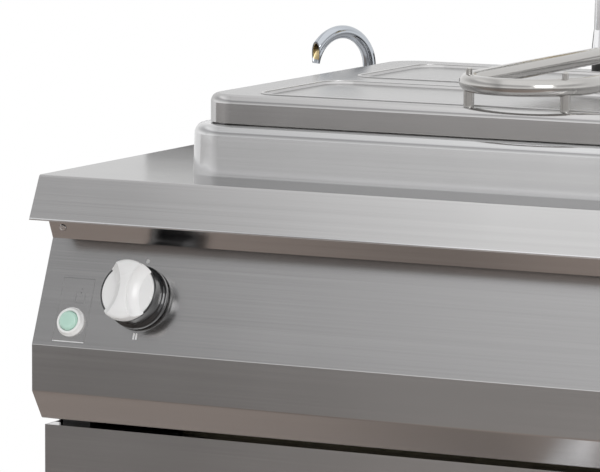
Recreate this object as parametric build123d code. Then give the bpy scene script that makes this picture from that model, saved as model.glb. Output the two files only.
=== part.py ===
"""Steam jacketed kettle: a rectangular electric boiling pan in a free-standing cabinet.

Frame: millimetres, +Z up, front towards -Y, origin on the floor under the middle of the
overall box.  Depths are counted back from the worktop's front edge (y_at) and heights from
the worktop's top face (z_at), so every piece follows the cabinet's driving dimensions.
"""
import os
from math import atan2, cos, degrees, hypot, radians, sin, sqrt

from build123d import *

os.makedirs("parts", exist_ok=True)

# ---- driving dimensions: cabinet -------------------------------------------------------
unit_width = 900.0           # end to end, the worktop is flush with the side panels
rear_shelf = 149.0           # worktop behind the surround's rear foot
worktop_height = 850.0       # floor to worktop
leg_height = 150.0           # floor to underside of the cabinet
worktop_sheet = 2.0
panel_sheet = 1.5
bend_radius = 3.0            # outside radius of the folds
apron_drop = 41.0            # height of the worktop's slanted front apron
apron_lean = 20.0            # how far the apron's foot stands forward of its top edge
apron_return = 14.0          # flange turned back under the apron
frame_tube = 30.0
frame_clearance = 0.5        # frame to the panels around it

# ---- driving dimensions: control panel --------------------------------------------------
strip_top_drop = 28.0        # the strip starts behind the apron, this far below the worktop
strip_top_back = 9.0
crease_drop = 62.8           # crease between strip and slope
crease_back = 25.0
slope_height = 97.0
slope_run = 40.0
facet_height = 45.0
chamfer_height = 28.7
chamfer_run = 18.6
panel_end_depth = 36.0       # depth of the panel's closed ends
front_panel_gap = 6.8        # dark gap between control panel and front panel
front_panel_back = 9.2
panel_flange = 16.0          # turned edges of the cabinet panels

# ---- driving dimensions: back panel and legs --------------------------------------------
slot_length = 40.0
slot_height = 6.0
leg_radius = 25.0
leg_sleeve = 90.0
leg_plate = 80.0             # side of the square plate on each leg
leg_plate_sheet = 4.0
leg_inset = 62.0             # leg centres inside the cabinet's faces
gland_from_end = 112.0       # cable gland from the cabinet's right end
gland_up = 120.0             # above the cabinet's floor
gland_radius = 12.5
gland_bore = 8.0
gland_tail = 8.5             # gland's length inside the back panel
terminal_width = 120.0
terminal_height = 120.0
terminal_depth = 70.0

# ---- driving dimensions: kettle ---------------------------------------------------------
surround_side = 111.0        # surround's foot from the cabinet's ends
surround_depth = 464.0
surround_back = 67.0         # surround's foot behind the worktop's front edge
surround_height = 48.0
surround_corner = 44.0
surround_roll = 10.0
surround_draft = 2.0         # degrees
surround_land = 8.0          # worktop plate inside the surround's foot
opening_inset = 30.0         # surround's foot to the pan's opening
opening_corner = 45.0
pan_depth = 400.0            # rim to bottom inside
pan_wall = 3.0
pan_flange = 17.0
pan_bottom_radius = 40.0
jacket_gap = 25.0            # steam space at the sides
jacket_sump = 55.0           # water space under the pan
jacket_wall = 3.0
jacket_top_drop = 150.0      # jacket's top below the worktop
jacket_bottom_radius = 30.0
insulation_thickness = 20.0
element_inset = 140.0        # each heater's middle from the jacket's end
element_level = 0.52         # heaters' height in the sump, as a share of it from the top
element_window_x = 110.0
element_window_z = 26.0
element_flange = 6.0
element_border = 12.0        # flange outside its window
cover_depth = 22.0
element_length = 340.0
element_pitch = 34.0
element_rod = 8.5

# ---- driving dimensions: lid ------------------------------------------------------------
lid_inset = 15.0             # surround's foot to the lid's skirt
lid_corner = 34.0
lid_gap = 1.2                # rim to skirt
lid_top = 76.0               # lid's top face above the worktop
lid_roll = 8.0
lid_sheet = 1.5
press_depth = 2.0            # depth of the two pressed panels
press_border = 49.0          # lid's left and right edge to the pressed panels
press_front = 27.0           # lid's front edge to the front pressed panel
press_back = 42.0
press_rib = 50.0             # rib between the two pressed panels
press_corner = 22.0
liner_plug = 6.0             # how far the lid's liner drops into the pan
liner_clearance = 6.0
gasket_width = 8.0
gasket_inset = 3.0           # gasket's inner edge outside the pan's opening
gasket_clearance = 0.3       # gasket to rim
handle_height = 98.0         # tube centre above the worktop
handle_tube = 16.5
handle_wall = 1.5
handle_half = 60.0           # centre line of each arm from the middle
handle_front = 5.0           # front of the bow's centre line behind the surround's front foot
post_half = 48.5
post_diameter = 10.0
stud_diameter = 6.0
stud_top = 112.0
rear_post_ahead = 39.0       # rear posts in front of the surround's rear foot
hinge_behind = 14.0          # hinge axis behind the surround's rear foot
hinge_diameter = 16.0
hinge_running = 0.05         # radial running clearance of shaft in bush
liner_lift = 2.0             # liner's rim above the skirt's lower edge
ear_outer = 44.0             # outer face of each hinge ear from the middle
ear_thickness = 5.0
ear_front = 11.0             # bracket in front of the hinge's axis
ear_back = 28.0
ear_lug = 17.0               # radius of the lug round the bush
ear_notch_z = 55.0           # foot of the notch behind the lug, above the worktop
ear_notch_y = 12.0
bush_wall = 2.5
spring_wire = 3.5
spring_turns = 5

# ---- driving dimensions: controls -------------------------------------------------------
knob_from_end = 106.0
knob_up = 52.0               # up the slope from the lower bend
knob_base_radius = 26.5
knob_ring_radius = 30.0
knob_height = 25.5
knob_gap = 0.8               # knob to panel
grip_height = 10.5
grip_reach = 29.6            # half the grip's length
grip_edge = 1.5
grip_crest = 4.5             # half the grip's width at its waist
scoop_radius = 40.5
scoop_squash = 0.5           # scoop's height as a share of its width
cap_radius = 27.4
cap_seat = 2.0               # cap let into the knob's face
switch_nose = 10.0
spindle_diameter = 6.0
spindle_running = 0.1
spindle_depth = 12.0         # spindle's end inside the switch body
button_from_end = 37.5
button_up = 24.0
bezel_radius = 14.2
bezel_height = 5.0
lens_radius = 9.2
lens_stand = 8.5             # lens crown above the panel
button_travel = 2.5
button_running = 0.3
button_shank = 11.0
shank_depth = 12.0           # bezel's shank behind the panel's face

# ---- driving dimensions: water, drain and safety group ---------------------------------
spout_from_end = 75.7
spout_behind = 20.6          # behind the surround's rear foot
spout_tube = 13.5
spout_wall = 1.2
spout_radius = 37.5
spout_top = 101.3            # top of the arch's centre line above the worktop
spout_turn = 25.0            # degrees the spout is parked towards the left
spout_cut = 27.0             # degrees above level where the arch is cut off
shank_radius = 10.5          # spout's threaded shank
inlet_radius = 10.5
inlet_drop = 430.0           # water inlet below the worktop
inlet_shank = 16.0           # inlet inside the back panel's outer face
inlet_collar = 3.0
water_pipe_radius = 6.0
pipe_bend = 20.0
shank_length = 52.0
fill_valve_half = 14.0       # half the fill valve's height
fill_valve_ahead = 60.0      # fill valve in front of the back panel
drain_back = 170.0
drain_tube = 48.0
drain_wall = 2.5
drain_straight = 6.0         # straight run of the drain under the jacket
drain_bend = 58.0
valve_bore = 36.0
ball_radius = 24.0
ball_clearance = 0.3
valve_radius = 31.0
stem_diameter = 12.0
stem_running = 0.05
lever_length = 118.0
lever_thickness = 6.0
lever_width = 18.0
lever_lift = 0.5             # lever above the bonnet
tang_radius = 4.0
grip_radius = 12.0
bonnet_height = 46.0
outlet_radius = 23.0
outlet_bend = 30.0
outlet_drop = 34.0
outlet_lip = 3.0
ball_ahead = 36.0            # ball's centre in front of the worktop's edge
valve_seat = 8.0             # union's face in front of the front panel
riser_left = 106.0           # left of the kettle's middle
riser_behind = 17.0          # behind the surround's rear foot
riser_tube = 22.0
riser_wall = 2.0
riser_bend = 13.5
riser_top = 168.0            # top of riser above the worktop
sleeve_top = 87.0            # top of the heat guard above the worktop
union_foot = 93.0            # foot of the flared ring above the worktop
union_height = 20.0
riser_drop = 190.0           # riser's branch into the jacket below the worktop
gauge_radius = 31.5
gauge_rise = 62.0            # gauge case's foot above the riser's top
gauge_zero = -135.0          # degrees of the pointer at rest from upright
block_size = 34.0
arm_length = 16.0
arm_radius = 8.0
safety_offset = 8.0          # safety valve's axis beyond the block's arm
safety_body = 12.0
safety_outlet = 9.0
safety_bore = 6.5
safety_reach = 24.0          # safety valve's outlet behind its axis
safety_foot = 16.0
safety_shoulder = 30.0
safety_stem = 4.0
cap_outer = 14.0
cap_height = 22.0
breaker_offset = 4.0
breaker_body = 9.0
inlet_reach = 22.0           # rear stubs behind the back panel
valve_nose = 118.0           # drain outlet's nose in front of the worktop's edge

# ---- derived places ---------------------------------------------------------------------
surround_rear = surround_back + surround_depth
body_depth = surround_rear + rear_shelf
front_edge = (valve_nose - body_depth - inlet_reach) / 2
half_width = unit_width / 2
floor_of_body = leg_height


def y_at(back):
    """Y of a plane this far behind the worktop's front edge."""
    return front_edge + back


def z_at(up):
    """Z of a level this far above the worktop."""
    return worktop_height + up


def x_at(from_left_end):
    """X of a place this far from the cabinet's left end."""
    return from_left_end - half_width


surround_width = unit_width - 2 * surround_side
pan_y = y_at(surround_back + surround_depth / 2)
rim_z = z_at(surround_height)
opening_width = surround_width - 2 * opening_inset
opening_depth = surround_depth - 2 * opening_inset
pan_bottom_z = rim_z - pan_depth
pan_outer_width = opening_width + 2 * pan_wall
pan_outer_depth = opening_depth + 2 * pan_wall
pan_outer_corner = opening_corner + pan_wall
jacket_width = pan_outer_width + 2 * (jacket_gap + jacket_wall)
jacket_depth = pan_outer_depth + 2 * (jacket_gap + jacket_wall)
jacket_corner = pan_outer_corner + jacket_gap + jacket_wall
jacket_top_z = z_at(-jacket_top_drop)
jacket_bottom_z = pan_bottom_z - pan_wall - jacket_sump - jacket_wall
lid_width = surround_width - 2 * lid_inset
lid_depth = surround_depth - 2 * lid_inset
lid_bottom_z = rim_z + lid_gap
lid_top_z = z_at(lid_top)
hinge_y = y_at(surround_rear + hinge_behind)
bow_y = y_at(surround_back + handle_front) + handle_half
hinge_z = z_at(handle_height)
drain_y = y_at(drain_back)
drain_z = jacket_bottom_z - drain_straight - drain_bend
front_panel_top = z_at(-(crease_drop + slope_height + facet_height + chamfer_height + front_panel_gap))
slope_angle = degrees(atan2(slope_run, slope_height))
spout_x, spout_y = x_at(spout_from_end), y_at(surround_rear + spout_behind)
riser_x, riser_y = -riser_left, y_at(surround_rear + riser_behind)
inlet_x, inlet_z = spout_x, z_at(-inlet_drop)
fill_valve_y = y_at(body_depth - fill_valve_ahead)
pipe_turn_z = inlet_z + fill_valve_half + pipe_bend + water_pipe_radius
gland_x, gland_z = half_width - gland_from_end, floor_of_body + gland_up
leg_rows = (y_at(front_panel_back + leg_inset), y_at(body_depth - leg_inset))
leg_places = [(side * (half_width - leg_inset), y) for side in (-1, 1) for y in leg_rows]
element_spread = jacket_width / 2 - element_inset
element_places = (-element_spread, element_spread)
element_z = pan_bottom_z - pan_wall - jacket_sump * element_level
element_wall_y = pan_y - jacket_depth / 2
liner_z = lid_bottom_z + liner_lift
shaft_reach = handle_half + handle_tube / 2 + 2
post_bow_y = bow_y - sqrt(handle_half ** 2 - post_half ** 2)
post_places = [(side * post_half, post_bow_y) for side in (-1, 1)]
post_places += [(side * handle_half, y_at(surround_rear - rear_post_ahead)) for side in (-1, 1)]
ball_y = y_at(-ball_ahead)
valve_back_y = y_at(front_panel_back - valve_seat)
outlet_y = y_at(-valve_nose) + outlet_radius + outlet_lip
arm_reach = block_size / 2 + arm_length
block_z = z_at(riser_top + block_size / 2)
safety_x = riser_x - arm_reach - safety_offset
gauge_z = z_at(riser_top + gauge_rise + gauge_radius)


def save(shape, name):
    """Write one node."""
    export_step(shape, f"parts/{name}.step")


# ---- shape helpers ----------------------------------------------------------------------
def block(x0, x1, y0, y1, z0, z1):
    """A box between two corners."""
    middle = ((x0 + x1) / 2, (y0 + y1) / 2, (z0 + z1) / 2)
    return Pos(*middle) * Box(x1 - x0, y1 - y0, z1 - z0)


def slab(width, depth, corner, bottom, top, y=pan_y, taper=0.0):
    """An upright prism with a rounded rectangular plan, centred on the kettle."""
    return Pos(0, y, bottom) * extrude(RectangleRounded(width, depth, corner), top - bottom, taper=taper)


def at_level(shape, level):
    """Edges of a shape that lie flat at one height."""
    return shape.edges().filter_by_position(Axis.Z, level - 0.01, level + 0.01)


def rod(start, end, radius, bore=0.0):
    """A round bar or sleeve between two points."""
    start, end = Vector(*start), Vector(*end)
    plane = Plane(origin=start, z_dir=end - start)
    face = Circle(radius) - Circle(bore) if bore else Circle(radius)
    return extrude(plane * face, (end - start).length)


def bent_tube(points, radius, bend, wall=0.0):
    """A tube of straight runs joined by tangent bends."""
    path = FilletPolyline(*points, radius=bend)
    plane = Plane(origin=path @ 0, z_dir=path % 0)
    face = Circle(radius) - Circle(radius - wall) if wall else Circle(radius)
    return sweep(plane * face, path=path)


def hexagon(centre, axis, flats, length):
    """A hexagonal nut blank that starts at centre and runs along axis."""
    plane = Plane(origin=centre, z_dir=axis)
    return extrude(plane * RegularPolygon(flats / sqrt(3), 6), length)


def slope_plane(from_left_end, up):
    """A plane on the control panel's slope, facing out, its Y up the slope."""
    lean = radians(slope_angle)
    low_y = y_at(crease_back - slope_run)
    low_z = z_at(-(crease_drop + slope_height))
    origin = (x_at(from_left_end), low_y + up * sin(lean), low_z + up * cos(lean))
    return Plane(origin=origin, x_dir=(1, 0, 0), z_dir=(0, -cos(lean), sin(lean)))


# ---- cabinet ----------------------------------------------------------------------------
def folded_shell(points, sheet, open_back):
    """A closed-ended sheet shell: a profile less its inside, open where open_back cuts it."""
    plane = Plane(origin=(-half_width, 0, 0), x_dir=(0, 1, 0), z_dir=(1, 0, 0))
    outline = make_face(Polyline(*points, close=True))
    inside_plane = Plane(origin=(-half_width + sheet, 0, 0), x_dir=(0, 1, 0), z_dir=(1, 0, 0))
    inside = offset(outline, amount=-sheet, kind=Kind.INTERSECTION)
    shell = extrude(plane * outline, unit_width)
    shell -= extrude(inside_plane * inside, unit_width - 2 * sheet)
    return shell - open_back


def round_folds(shape, places, radius):
    """Round the long folds that run across the cabinet through the given points."""
    for y, z in places:
        near = shape.edges().filter_by(Axis.X).sort_by_distance(Vector(0, y, z))[0]
        shape = fillet(near, radius)
    return shape


def worktop():
    """Pressed top: plate with a slanted front apron, side and back flanges."""
    low = z_at(-apron_drop)
    nose = (y_at(0), z_at(0))
    foot = (y_at(-apron_lean), low)
    points = [nose, foot, (y_at(body_depth), low), (y_at(body_depth), z_at(0))]
    slant = worktop_sheet * hypot(apron_lean, apron_drop) / apron_drop
    mouth = block(
        -half_width + worktop_sheet, half_width - worktop_sheet,
        y_at(-apron_lean) + apron_return, y_at(body_depth) - worktop_sheet,
        low - 1, low + worktop_sheet + slant,
    )
    top = folded_shell(points, worktop_sheet, mouth)
    top = round_folds(top, [nose], bend_radius)
    hole_width = surround_width - 2 * surround_land
    hole_depth = surround_depth - 2 * surround_land
    hole_corner = surround_corner - surround_land
    top -= slab(hole_width, hole_depth, hole_corner, z_at(-worktop_sheet - 1), z_at(1))
    for x, y, radius in ((spout_x, spout_y, shank_radius + 0.5), (riser_x, riser_y, riser_tube / 2 + 1)):
        top -= rod((x, y, z_at(-10)), (x, y, z_at(5)), radius)
    return top


def control_panel():
    """Folded panel: strip under the apron, sloped face, upright facet, chamfer and return."""
    crease = (y_at(crease_back), z_at(-crease_drop))
    low_bend = (crease[0] - slope_run, crease[1] - slope_height)
    facet_end = (low_bend[0], low_bend[1] - facet_height)
    bottom = (facet_end[0] + chamfer_run, facet_end[1] - chamfer_height)
    top = (y_at(strip_top_back), z_at(-strip_top_drop))
    back = y_at(panel_end_depth)
    points = [top, crease, low_bend, facet_end, bottom, (back, bottom[1]), (back, top[1])]
    mouth = block(
        -half_width + panel_sheet, half_width - panel_sheet,
        back - panel_sheet - 1, back + 1, bottom[1] + panel_sheet, top[1] - panel_sheet,
    )
    panel = folded_shell(points, panel_sheet, mouth)
    panel = round_folds(panel, [low_bend, facet_end, bottom], bend_radius)
    for side in (-1, 1):
        x0, x1 = sorted((side * (half_width - worktop_sheet - frame_clearance), side * (half_width + 1)))
        under_apron = z_at(-apron_drop) - frame_clearance
        panel -= block(x0, x1, top[0] - 5, back + 1, under_apron, top[1] + 1)
    knob_plane = slope_plane(knob_from_end, knob_up)
    button_plane = slope_plane(button_from_end, button_up)
    panel -= extrude(knob_plane * Circle(spindle_diameter / 2 + 1), 10, both=True)
    panel -= extrude(button_plane * Circle(button_shank + 0.2), 10, both=True)
    return panel


def side_panel(side):
    """A flat side of the cabinet with turned edges, cut back behind the control panel."""
    low, high = floor_of_body, z_at(-apron_drop)
    outer, inner = side * half_width, side * (half_width - panel_sheet)
    x0, x1 = min(outer, inner), max(outer, inner)
    front_low = y_at(front_panel_back + panel_sheet)
    panel = block(x0, x1, y_at(panel_end_depth), y_at(body_depth - panel_sheet), low, high)
    panel += block(x0, x1, front_low, y_at(panel_end_depth), low, front_panel_top)
    lip0, lip1 = sorted((inner, side * (half_width - panel_flange)))
    back = y_at(body_depth - panel_sheet)
    panel += block(lip0, lip1, back - panel_sheet, back, low, high)
    return panel


def vent_slots(width, rows, top):
    """Rows of rounded ventilation slots through the back panel."""
    slot = extrude(Plane.XZ * SlotOverall(slot_length, slot_height), 20, both=True)
    count = int(width // (slot_length * 1.5))
    cuts = []
    for row in range(rows):
        for column in range(count):
            x = (column - (count - 1) / 2) * slot_length * 1.5
            cuts.append(Pos(x, y_at(body_depth), top - row * slot_height * 2.5) * slot)
    return cuts


def back_panel():
    """Flat back with turned top edge, vents, and holes for the water and cable inlets."""
    low, high = floor_of_body, z_at(-apron_drop)
    face = y_at(body_depth)
    panel = block(-half_width, half_width, face - panel_sheet, face, low, high)
    for cut in vent_slots(unit_width * 0.4, 4, high - 60):
        panel -= cut
    for x, z, radius in ((inlet_x, inlet_z, inlet_radius), (gland_x, gland_z, gland_radius)):
        panel -= rod((x, face - 10, z), (x, face + 10, z), radius + 0.5)
    return panel


def front_panel():
    """Fixed lower front with turned edges and the drain's hole."""
    face = y_at(front_panel_back)
    low, high = floor_of_body, front_panel_top
    panel = block(-half_width, half_width, face, face + panel_sheet, low, high)
    inner = half_width - panel_sheet - frame_clearance
    panel += block(-inner, inner, face, face + panel_flange, high - panel_sheet, high)
    panel -= rod((0, face - 5, drain_z), (0, face + 5, drain_z), drain_tube / 2 + 4)
    return panel


def base_tray():
    """Bottom of the cabinet with turned-up edges."""
    inset = panel_sheet + frame_clearance
    y0, y1 = y_at(front_panel_back) + inset, y_at(body_depth) - inset - panel_sheet
    x1 = half_width - inset
    tray = block(-x1, x1, y0, y1, floor_of_body, floor_of_body + panel_flange)
    wall = panel_sheet
    return tray - block(-x1 + wall, x1 - wall, y0 + wall, y1 - wall, floor_of_body + wall, z_at(0))


def frame():
    """Welded square-tube frame: bottom ring, four posts and top ring."""
    edge = panel_sheet * 2 + frame_clearance * 2
    x1 = half_width - edge
    y0 = y_at(panel_end_depth + frame_clearance)
    y1 = y_at(body_depth) - edge - panel_sheet
    low = floor_of_body + panel_sheet
    high = z_at(-worktop_sheet)
    t = frame_tube
    ring = block(-x1, x1, y0, y1, 0, t) - block(-x1 + t, x1 - t, y0 + t, y1 - t, -1, t + 1)
    body = Pos(0, 0, low) * ring + Pos(0, 0, high - t) * ring
    for x in (-x1, x1 - t):
        for y in (y0, y1 - t):
            body += block(x, x + t, y, y + t, low, high)
    return body


def leg(x, y):
    """A round leg sleeve under its square mounting plate."""
    top, half = floor_of_body, leg_plate / 2
    under = top - leg_plate_sheet
    sleeve = rod((x, y, under), (x, y, top - leg_sleeve), leg_radius, leg_radius - 2)
    return block(x - half, x + half, y - half, y + half, under, top) + sleeve


def foot(x, y):
    """An adjustable foot: stem inside the sleeve and a turned pad on the floor."""
    r = leg_radius - 2 - 0.2
    top = leg_height - 30
    outline = [
        (0, 0), (leg_radius * 0.72, 0), (leg_radius * 0.86, 4), (leg_radius, 34),
        (leg_radius, 40), (r, 42), (r, top), (0, top),
    ]
    return Pos(x, y, 0) * revolve(Plane.XZ * make_face(Polyline(*outline, close=True)), axis=Axis.Z)


# ---- kettle -----------------------------------------------------------------------------
def well_surround():
    """Raised collar with drafted walls and a rolled top edge round the pan's opening."""
    def bulk(inset, drop):
        width, depth = surround_width - 2 * inset, surround_depth - 2 * inset
        solid = slab(width, depth, surround_corner - inset, z_at(0), rim_z - drop, taper=surround_draft)
        return fillet(at_level(solid, rim_z - drop), surround_roll - inset)
    collar = bulk(0, 0) - bulk(worktop_sheet, worktop_sheet)
    return collar - slab(opening_width, opening_depth, opening_corner, z_at(0), rim_z + 1)


def inner_vessel():
    """The pan: flange under the collar, straight walls, rounded bottom and drain hole."""
    top = rim_z - worktop_sheet
    shell = slab(pan_outer_width, pan_outer_depth, pan_outer_corner, pan_bottom_z - pan_wall, top)
    shell = fillet(at_level(shell, pan_bottom_z - pan_wall), pan_bottom_radius + pan_wall)
    wide, deep = opening_width + 2 * pan_flange, opening_depth + 2 * pan_flange
    shell += slab(wide, deep, opening_corner + pan_flange, top - worktop_sheet, top)
    hollow = slab(opening_width, opening_depth, opening_corner, pan_bottom_z, rim_z)
    hollow = fillet(at_level(hollow, pan_bottom_z), pan_bottom_radius)
    shell -= hollow
    hole = drain_tube / 2 - drain_wall
    return shell - rod((0, drain_y, pan_bottom_z - 20), (0, drain_y, pan_bottom_z + 5), hole)


def steam_jacket():
    """Outer shell that holds the water and steam round the pan's lower part."""
    shell = slab(jacket_width, jacket_depth, jacket_corner, jacket_bottom_z, jacket_top_z)
    shell = fillet(at_level(shell, jacket_bottom_z), jacket_bottom_radius)
    wide, deep = jacket_width - 2 * jacket_wall, jacket_depth - 2 * jacket_wall
    low, high = jacket_bottom_z + jacket_wall, jacket_top_z - jacket_wall
    inner = slab(wide, deep, jacket_corner - jacket_wall, low, high)
    inner = fillet(at_level(inner, low), jacket_bottom_radius - jacket_wall)
    shell -= inner
    shell -= slab(pan_outer_width, pan_outer_depth, pan_outer_corner, jacket_top_z - 10, jacket_top_z + 1)
    shell -= rod((0, drain_y, jacket_bottom_z - 5), (0, drain_y, jacket_bottom_z + 10), drain_tube / 2)
    window = Box(element_window_x, 4 * jacket_wall, element_window_z)
    for x in element_places:
        shell -= Pos(x, element_wall_y, element_z) * window
    branch_end = (riser_x, pan_y + jacket_depth / 2 - jacket_wall - 1, z_at(-riser_drop))
    return shell - rod((riser_x, riser_y + 5, z_at(-riser_drop)), branch_end, riser_tube / 2)


def insulation():
    """Mineral wool blanket round the jacket's sides."""
    low = jacket_bottom_z + jacket_bottom_radius
    extra = 2 * insulation_thickness
    corner = jacket_corner + insulation_thickness
    wool = slab(jacket_width + extra, jacket_depth + extra, corner, low, jacket_top_z)
    wool -= slab(jacket_width, jacket_depth, jacket_corner, low - 1, jacket_top_z + 1)
    riser_room = riser_tube / 2 + 1.5
    x0, x1 = riser_x - riser_room, riser_x + riser_room
    wool -= block(x0, x1, pan_y, y_at(body_depth), z_at(-riser_drop) - riser_room, z_at(0))
    margin = 4 * element_border
    room = Box(element_window_x + margin, 3 * insulation_thickness, element_window_z + margin)
    for x in element_places:
        wool -= Pos(x, element_wall_y, element_z) * room
    return wool


def heating_element(x):
    """Three hairpin heaters on a flange that closes a window in the jacket's front wall."""
    wall_y = element_wall_y
    half_x, half_z = element_window_x / 2 + element_border, element_window_z / 2 + element_border
    z0, z1 = element_z - half_z, element_z + half_z
    unit = block(x - half_x, x + half_x, wall_y - element_flange, wall_y, z0, z1)
    for offset_x in (-element_pitch, 0, element_pitch):
        half = element_pitch * 0.28
        a, b = x + offset_x - half, x + offset_x + half
        start, far = wall_y - element_flange / 2, wall_y + element_length
        plan = [(a, start), (a, far), (b, far), (b, start)]
        unit += bent_tube([(px, py, element_z) for px, py in plan], element_rod / 2, half * 0.98)
    return unit


def element_cover(x):
    """Terminal cap screwed over the heater's flange."""
    y1 = element_wall_y - element_flange
    rim = element_border / 2
    half_x, half_z = element_window_x / 2 + rim, element_window_z / 2 + rim
    cover = block(x - half_x, x + half_x, y1 - cover_depth, y1, element_z - half_z, element_z + half_z)
    cover = fillet(cover.edges().filter_by(Axis.Y), 5)
    half_x, half_z = half_x - 2, half_z - 2
    z0, z1 = element_z - half_z, element_z + half_z
    return cover - block(x - half_x, x + half_x, y1 - cover_depth + 2, y1 + 1, z0, z1)


def drain_strainer():
    """Perforated disc that lies over the drain hole."""
    r = drain_tube / 2 + 6
    disc = rod((0, drain_y, pan_bottom_z), (0, drain_y, pan_bottom_z + 2), r)
    disc += rod((0, drain_y, pan_bottom_z + 2), (0, drain_y, pan_bottom_z + 10), 4)
    cuts = PolarLocations(r * 0.62, 8).locations + PolarLocations(r * 0.32, 4).locations
    for place in cuts:
        disc -= Pos(0, drain_y, pan_bottom_z) * place * Cylinder(3.2, 12)
    return disc


# ---- lid --------------------------------------------------------------------------------
def pressed_panels():
    """Plan centre and size of the two pressed panels in the lid."""
    lid_front = pan_y - lid_depth / 2
    lid_rear = pan_y + lid_depth / 2
    run = (lid_depth - press_front - press_back - press_rib) / 2
    width = lid_width - 2 * press_border
    return [(lid_front + press_front + run / 2, width, run), (lid_rear - press_back - run / 2, width, run)]


def lid_shell():
    """Outer skin: skirt, rolled edge and two pressed panels with a rib between them."""
    outer = slab(lid_width, lid_depth, lid_corner, lid_bottom_z, lid_top_z)
    outer = fillet(at_level(outer, lid_top_z), lid_roll)
    t = lid_sheet
    inner = slab(lid_width - 2 * t, lid_depth - 2 * t, lid_corner - t, lid_bottom_z - 1, lid_top_z - t)
    inner = fillet(at_level(inner, lid_top_z - t), lid_roll - t)
    shell = outer - inner
    floor = lid_top_z - press_depth
    for y, width, depth in pressed_panels():
        shell += slab(width + 2 * t, depth + 2 * t, press_corner + t, floor - t, lid_top_z - t, y)
        wide, deep = width - 2 * press_depth, depth - 2 * press_depth
        shell -= slab(wide, deep, press_corner, floor, lid_top_z + 1, y, -45)
    return shell


def lid_liner():
    """Inner skin: flat rim inside the skirt and a shallow tray that drops into the pan."""
    t = lid_sheet
    width, depth = lid_width - 2 * t, lid_depth - 2 * t
    plug_w, plug_d = opening_width - 2 * liner_clearance, opening_depth - 2 * liner_clearance
    plug_r = opening_corner - liner_clearance
    liner = slab(width, depth, lid_corner - t, liner_z, liner_z + t)
    liner += slab(plug_w, plug_d, plug_r, rim_z - liner_plug, liner_z + t)
    return liner - slab(plug_w - 2 * t, plug_d - 2 * t, plug_r - t, rim_z - liner_plug + t, liner_z + t + 1)


def lid_gasket():
    """Silicone ring under the liner's rim, just clear of the collar."""
    inner_w, inner_d = opening_width + 2 * gasket_inset, opening_depth + 2 * gasket_inset
    inner_r = opening_corner + gasket_inset
    both = 2 * gasket_width
    ring = slab(inner_w + both, inner_d + both, inner_r + gasket_width, rim_z + gasket_clearance, liner_z)
    return ring - slab(inner_w, inner_d, inner_r, rim_z, liner_z + 1)


def lid_handle():
    """U-shaped tube: a half-round bow in front and two arms back to the hinge shaft."""
    a, b = (-handle_half, hinge_y, hinge_z), (-handle_half, bow_y, hinge_z)
    c, d = (handle_half, bow_y, hinge_z), (handle_half, hinge_y, hinge_z)
    bow = ThreePointArc(b, (0, bow_y - handle_half, hinge_z), c)
    path = Wire([Line(a, b).edge(), bow.edge(), Line(c, d).edge()])
    plane = Plane(origin=a, z_dir=(0, -1, 0))
    r = handle_tube / 2
    tube = sweep(plane * (Circle(r) - Circle(r - handle_wall)), path=path)
    for x in (-handle_half, handle_half):
        tube += rod((x - r, hinge_y, hinge_z), (x + r, hinge_y, hinge_z), r + 3)
    tube -= rod((-shaft_reach, hinge_y, hinge_z), (shaft_reach, hinge_y, hinge_z), hinge_diameter / 2)
    for x, y in post_places:
        tube -= rod((x, y, hinge_z - 20), (x, y, hinge_z + 20), stud_diameter / 2)
    return tube


def handle_post(x, y):
    """A spacer from the lid to the tube with a stud that runs up through the tube."""
    post = rod((x, y, lid_top_z), (x, y, hinge_z), post_diameter / 2)
    saddle = rod((x, y - 30, hinge_z), (x, y + 30, hinge_z), handle_tube / 2)
    if abs(abs(x) - handle_half) > 1:
        angle = degrees(atan2(x, bow_y - y))
        saddle = Pos(x, y, hinge_z) * Rot(0, 0, angle) * Rot(0, 90, 0) * Cylinder(handle_tube / 2, 60)
    stud = rod((x, y, lid_top_z), (x, y, z_at(stud_top)), stud_diameter / 2)
    stud = chamfer(stud.edges().sort_by(Axis.Z)[-1], 1)
    return (post - saddle) + stud


def hinge_shaft():
    """Shaft through the bracket's bushes, carried by the two arms."""
    shaft = rod((-shaft_reach, hinge_y, hinge_z), (shaft_reach, hinge_y, hinge_z), hinge_diameter / 2)
    return chamfer(shaft.edges().filter_by(GeomType.CIRCLE), 1)


def hinge_bracket():
    """Folded bracket: base plate on the worktop and two ears that hold the bushes."""
    t = ear_thickness
    y0, y1 = hinge_y - ear_front, hinge_y + ear_back
    body = block(-ear_outer, ear_outer, y0, y1, z_at(0), z_at(t))
    for side in (-1, 1):
        x0, x1 = sorted((side * ear_outer, side * (ear_outer - t)))
        ear = block(x0, x1, y0, y1, z_at(0), hinge_z)
        ear += rod((x0, hinge_y, hinge_z), (x1, hinge_y, hinge_z), ear_lug)
        notch = block(x0, x1, hinge_y + ear_notch_y, y1 + 1, z_at(ear_notch_z), hinge_z + 2 * ear_lug)
        body += ear - notch
    seat = hinge_diameter / 2 + bush_wall
    return body - rod((-shaft_reach, hinge_y, hinge_z), (shaft_reach, hinge_y, hinge_z), seat)


def hinge_bush(side):
    """Flanged plain bush pressed into one ear."""
    x_in, x_out = side * (ear_outer - ear_thickness), side * (ear_outer + 2)
    running = hinge_diameter / 2 + hinge_running
    bush = rod((x_in, hinge_y, hinge_z), (x_out, hinge_y, hinge_z), hinge_diameter / 2 + bush_wall, running)
    face, flange_radius = side * ear_outer, hinge_diameter / 2 + 5
    return bush + rod((face, hinge_y, hinge_z), (x_out, hinge_y, hinge_z), flange_radius, running)


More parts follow.
